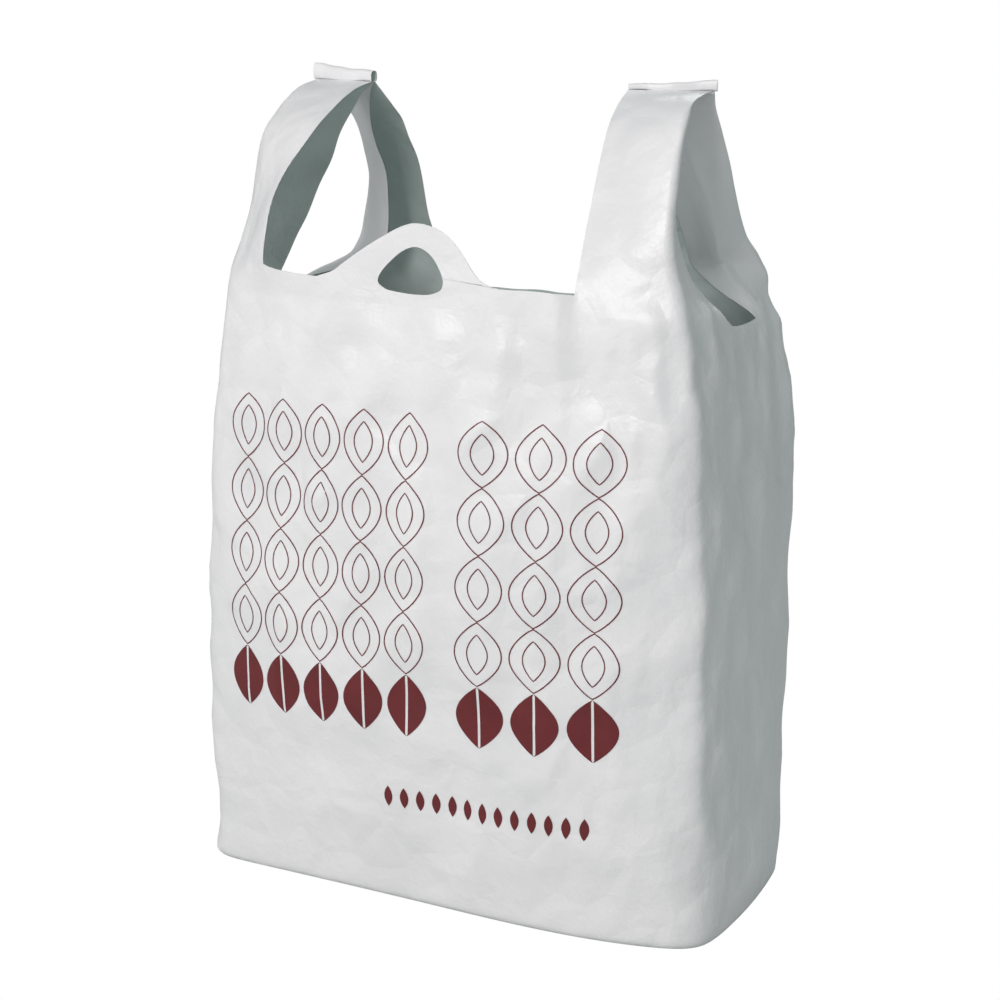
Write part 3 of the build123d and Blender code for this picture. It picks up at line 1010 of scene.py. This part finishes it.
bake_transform(pieces["front_tab_film"])
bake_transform(pieces["rear_tab_film"])
for face, panel, sign in (("front", "front", -1), ("rear", "back", 1)):
    for side, mirror in SIDES.items():
        x = mirror * STRAP_X
        foot, handle = f"{side}_{face}_foot", f"{side}_{face}_handle"
        root, strap, strip = (pieces[f"{side}_{face}_{part}_film"] for part in ("root", "strap", "strip"))
        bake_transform(root)
        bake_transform(strap)
        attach(strip, handle)
        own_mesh(strip)
        corner = pieces[f"{side}_{face}_corner_film"]
        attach(corner, f"base_{face}")
        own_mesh(corner)
    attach(pieces[f"base_{face}_film"], f"base_{face}")
for side in SIDES:
    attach(pieces[f"{side}_seal_film"], f"{side}_front_handle")
    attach(pieces[f"{side}_seal_ear_film"], "base_front")
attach(pieces["bottom_seal_film"], "base_front")

STANDS_FOR = {
    "front_right_film": ("front_panel", "right_front_gusset_leaf"),
    "front_left_film": ("front_panel", "left_front_gusset_leaf"),
    "right_centre_film": ("right_front_gusset_leaf", "right_rear_gusset_leaf"),
    "back_right_film": ("back_panel", "right_rear_gusset_leaf"),
    "back_left_film": ("back_panel",),
    "left_rear_film": ("left_rear_gusset_leaf",),
    "front_tab_film": ("front_tab",),
    "rear_tab_film": ("rear_tab",),
    "base_front_film": ("base_front_flap",),
    "base_rear_film": ("base_rear_flap",),
    "bottom_seal_film": ("bottom_seal",),
}
for name, nodes in STANDS_FOR.items():
    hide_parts(*nodes)
for side in SIDES:
    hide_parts(f"{side}_top_seal")
    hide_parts(f"{side}_seal_ear")
    for face in ("front", "rear"):
        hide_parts(f"{side}_{face}_strap_root")
        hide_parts(f"{side}_{face}_strap")
        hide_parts(f"{side}_{face}_gusset_strip")
        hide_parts(f"{side}_{face}_base_corner")

# ---------------------------------------------------------------- printed ornament

INK_LIFT = 0.16
LINE, INNER_LINE = 0.6, 0.55
LEAF_POINTS = 26
# a leaf's outline narrows as this power of a half wave
LEAF_POWER = 0.85
(right_points, right_cells), (left_points, left_cells) = films["front_right_film"], films["front_left_film"]
front_tree = BVHTree.FromPolygons(
    np.concatenate([right_points, left_points]).tolist(),
    np.concatenate([right_cells, left_cells + len(right_points)]).tolist(),
)


def on_front(x, z):
    """The point of the printed face at x and z, lifted off the film by the ink's thickness."""
    place, normal, _, _ = front_tree.ray_cast(Vector((x, -200, z)), Vector((0, 1, 0)))
    if normal.y > 0:
        normal = -normal
    return place + normal * INK_LIFT


def leaf(width, height):
    """Outline of a pointed leaf standing on its tip, centred on the origin."""
    t = np.linspace(0, 1, LEAF_POINTS)
    x = width / 2 * np.sin(np.pi * t) ** LEAF_POWER
    z = height * (t - 0.5)
    right = np.stack([x, z], -1)
    left = np.stack([-x[::-1], z[::-1]], -1)
    return np.concatenate([right, left[1:-1]])


def stroke(line, width):
    """Faces of a thin line of ink along a closed outline on the face."""
    along = np.roll(line, -1, axis=0) - np.roll(line, 1, axis=0)
    along /= np.maximum(np.linalg.norm(along, axis=1, keepdims=True), 1e-9)
    side = np.stack([-along[:, 1], along[:, 0]], -1) * width / 2
    points = [on_front(*p) for pair in zip(line + side, line - side) for p in pair]
    ends = [(i, (i + 1) % len(line)) for i in range(len(line))]
    return points, [(2 * i, 2 * i + 1, 2 * j + 1, 2 * j) for i, j in ends]


def filled(centre, width, height, gap=0.0):
    """Faces of a leaf filled with ink, with an open vein down its middle."""
    points, faces = [], []
    rows = max(8, int(height / 1.1))
    for half in (1, -1):
        first = len(points)
        across = max(2, int(width / 2 / 1.6)) + 1
        for t in np.linspace(0, 1, rows):
            reach = width / 2 * math.sin(math.pi * t) ** LEAF_POWER
            start = min(gap / 2, reach)
            for s in np.linspace(0, 1, across):
                x = centre[0] + half * (start + (reach - start) * s)
                points.append(on_front(x, centre[1] + height * (t - 0.5)))
        for i in range(rows - 1):
            for j in range(across - 1):
                a = first + i * across + j
                quad = (a, a + 1, a + across + 1, a + across)
                faces.append(quad if half > 0 else quad[::-1])
    return points, faces


def ink_piece(name, parts, cad_node):
    """One row of the ornament, which stands for a row of the print."""
    points, faces = [], []
    for more, cells in parts:
        faces += [tuple(v + len(points) for v in cell) for cell in cells]
        points += more
    mesh = bpy.data.meshes.new(name)
    mesh.from_pydata([p * MM for p in points], [], faces)
    mesh.polygons.foreach_set("use_smooth", [True] * len(faces))
    mesh.update()
    o = bpy.data.objects.new(name, mesh)
    bpy.context.scene.collection.objects.link(o)
    o.data.materials.append(ink)
    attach(o, "front")
    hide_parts(cad_node)


ROWS_OF_LEAVES, ROW_TOP, ROW_PITCH, ROW_HEIGHT = 5, 240.7, 30.5, 30.1
# centre and width of every leaf in a row
LEAVES = (*((x, 20.0) for x in (-99, -76.5, -54, -31.5, -9)), *((x, 23.5) for x in (28.5, 55.5, 82.5)))
VEIN = 1.3
SMALL_LEAVES, SMALL_Z, SMALL_WIDTH, SMALL_HEIGHT = np.linspace(-21, 79, 13), 56, 4.4, 10.5

for number in range(1, ROWS_OF_LEAVES + 1):
    middle = ROW_TOP - (number - 1) * ROW_PITCH - ROW_HEIGHT / 2
    parts = []
    for x, width in LEAVES:
        if number == ROWS_OF_LEAVES:
            parts.append(filled((x, middle), width, ROW_HEIGHT, VEIN))
        else:
            parts.append(stroke(leaf(width, ROW_HEIGHT) + (x, middle), LINE))
            parts.append(stroke(leaf(width * 0.45, ROW_HEIGHT * 0.62) + (x, middle), INNER_LINE))
    ink_piece(f"front_ornament_row_{number}", parts, f"front_print_row_{number}")
small = [filled((x, SMALL_Z), SMALL_WIDTH, SMALL_HEIGHT) for x in SMALL_LEAVES]
ink_piece("front_ornament_small_row", small, "front_print_small_row")

# ---------------------------------------------------------------- sheets

for face, (left_foot, right_foot) in TAB_FEET.items():
    spans[f"{face}_tab_film"] = (right_foot - left_foot, TAB_HEIGHTS[face])
for name in films:
    if "base" in name or "corner" in name:
        spans[name] = (spans[name][0], HALF_DEPTH)
    if "corner" in name or "strip" in name:
        declare(name)
    elif name.startswith("base") or "seal_ear" in name or name == "bottom_seal_film":
        declare(name)
    elif name == "rear_tab_film":
        declare(name)
    else:
        declare(name)
